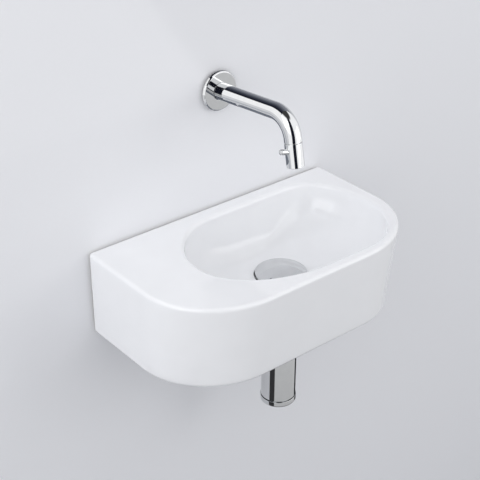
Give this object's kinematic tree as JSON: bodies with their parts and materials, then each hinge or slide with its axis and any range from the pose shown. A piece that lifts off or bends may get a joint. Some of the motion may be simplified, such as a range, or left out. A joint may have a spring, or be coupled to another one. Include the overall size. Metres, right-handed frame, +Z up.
{
  "type": "hand basin with tap",
  "caption": "Wall-hung ceramic hand basin with a flat side deck, an off-centre oval bowl, a wall spout with a turning outlet, a push plug and a bottle trap.",
  "frame": {"origin": "on the wall plane, midway between the two wall studs", "axes": "+X to the basin's right as one faces it, +Y into the wall, +Z up"},
  "size_m": [0.3631, 0.2539, 0.4321],
  "materials": {
    "glaze": "gloss",
    "chrome": "polished",
    "brass": "satin",
    "steel": "zinc plated",
    "rubber": "matte",
    "white_plastic": "matte",
    "stem_metal": "satin",
    "disc_ceramic": "lapped"
  },
  "bodies": {
    "fixed": {"basin": "glaze", "wall_studs": "steel", "stud_sleeves": "white_plastic", "stud_washers": "steel", "stud_nuts": "steel", "waste_body": "chrome", "waste_top_seal": "rubber", "waste_bottom_seal": "rubber", "waste_washer": "white_plastic", "waste_backnut": "brass", "plug_cartridge": "white_plastic", "plug_spring": "steel", "trap_inlet_nut": "chrome", "trap_inlet_seal": "rubber", "dip_tube": "chrome", "trap_neck_nut": "chrome", "trap_neck_seal": "rubber", "trap_body": "chrome", "trap_cap": "chrome", "trap_cap_seal": "rubber", "outlet_nut": "chrome", "outlet_seal": "rubber", "outlet_pipe": "chrome", "pipe_rosette": "chrome", "tap_rosette": "chrome", "rosette_seal": "rubber", "tap_nipple": "brass", "nipple_ring": "rubber", "spout_tube": "chrome", "grub_screw": "steel", "valve_core": "brass", "sleeve_ring": "rubber", "retainer": "steel", "fixed_disc": "disc_ceramic"},
    "outlet": {"turning_sleeve": "chrome", "lever_pin": "chrome", "moving_disc": "disc_ceramic", "aerator_shell": "chrome", "aerator_screen": "white_plastic"},
    "plug": {"plug_cap": "chrome", "plug_seal": "rubber", "plug_stem": "stem_metal"}
  },
  "joints": [
    {"name": "outlet_turn", "type": "hinge", "parent": "fixed", "child": "outlet", "pos_m": [0.011, -0.1339, 0.22154], "axis": [0, 0.1822, 0.9833], "range_deg": [0, 90]},
    {"name": "plug_push", "type": "slide", "parent": "fixed", "child": "plug", "axis": [0, 0, 1], "range_m": [-0.0057, 0], "stiffness_N_per_m": 500, "springref_m": 0.004, "deforming": ["plug_spring"]}
  ]
}
